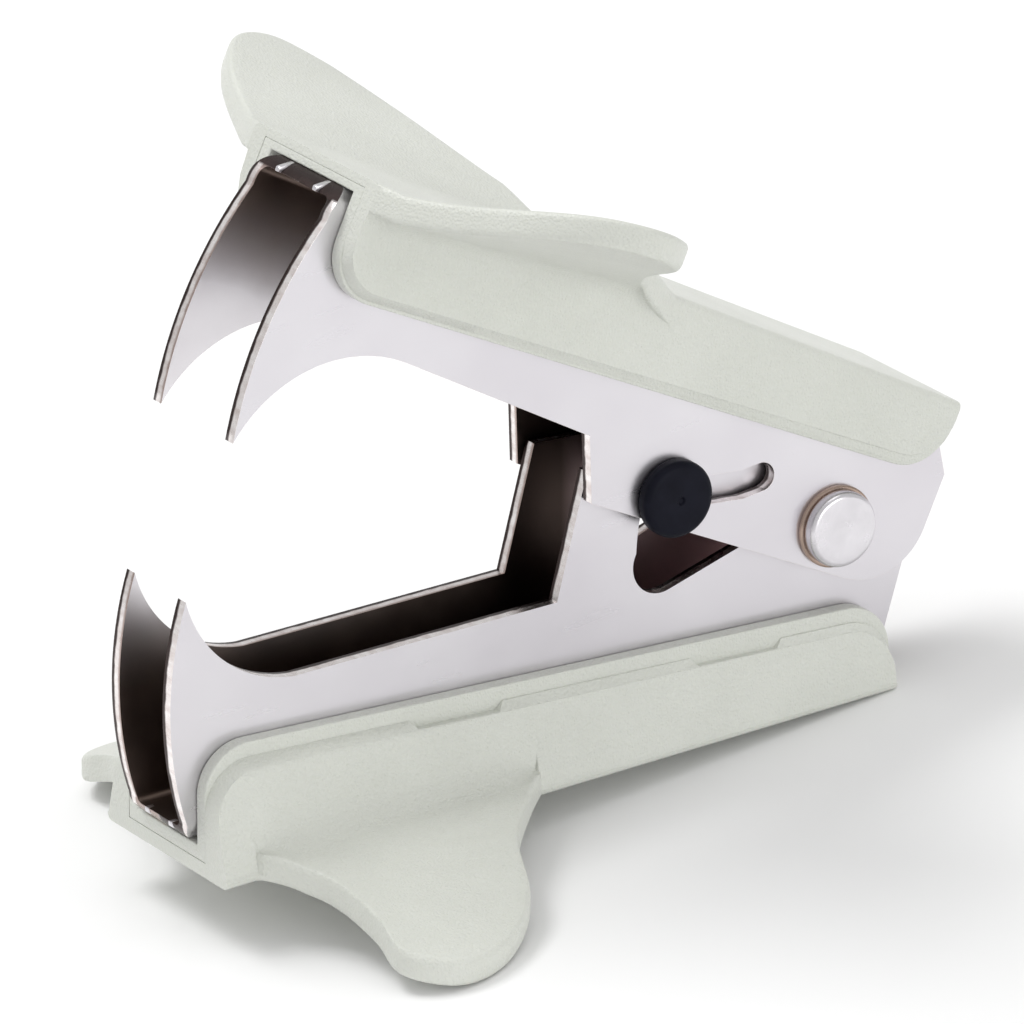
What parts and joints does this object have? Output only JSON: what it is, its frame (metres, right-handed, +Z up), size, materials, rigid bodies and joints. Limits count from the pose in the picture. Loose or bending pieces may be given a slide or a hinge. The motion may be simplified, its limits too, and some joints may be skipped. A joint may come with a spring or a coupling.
{
  "type": "staple remover",
  "caption": "Jaw-style staple remover: two nested fanged steel channels on a sprung rivet pivot, textured plastic grips with finger wings, and a knobbed slide lock.",
  "frame": {"origin": "centre of the bounding box, on the surface that the remover stands on", "axes": "+X to the rear, where the rivet is; Y across the jaws, the knob on the -Y side; +Z up, standing on the lower finger wings and the rear edge of the lower grip"},
  "size_m": [0.0608, 0.0486, 0.0487],
  "materials": {
    "plated_steel": "bright nickel plate",
    "rivet_steel": "polished",
    "inner_steel": "satin",
    "grip_plastic": "fine spark-eroded texture",
    "liner_plastic": "satin",
    "knob_plastic": "satin black"
  },
  "bodies": {
    "lower": {"lower_jaw": "plated_steel", "lower_grip_liner": "liner_plastic", "lower_grip_shell": "grip_plastic", "pivot_sleeve": "inner_steel", "torsion_spring": "inner_steel"},
    "upper": {"upper_jaw": "plated_steel", "upper_grip_liner": "liner_plastic", "upper_grip_shell": "grip_plastic", "pivot_rivet": "rivet_steel", "pivot_washer_near": "rivet_steel", "pivot_washer_far": "rivet_steel"},
    "lock": {"lock_pin": "inner_steel", "lock_knob_near": "knob_plastic", "lock_knob_far": "knob_plastic"}
  },
  "joints": [
    {"name": "jaw_close", "type": "hinge", "parent": "lower", "child": "upper", "pos_m": [0.02026, 0, 0.01287], "axis": [0, -1, 0], "range_deg": [0, 24], "stiffness_Nm_per_rad": 0.1, "springref_deg": -34.38, "deforming": ["torsion_spring"]},
    {"name": "lock_slide", "type": "slide", "parent": "upper", "child": "lock", "axis": [0.983, 0, -0.1834], "range_m": [0, 0.00646]}
  ]
}
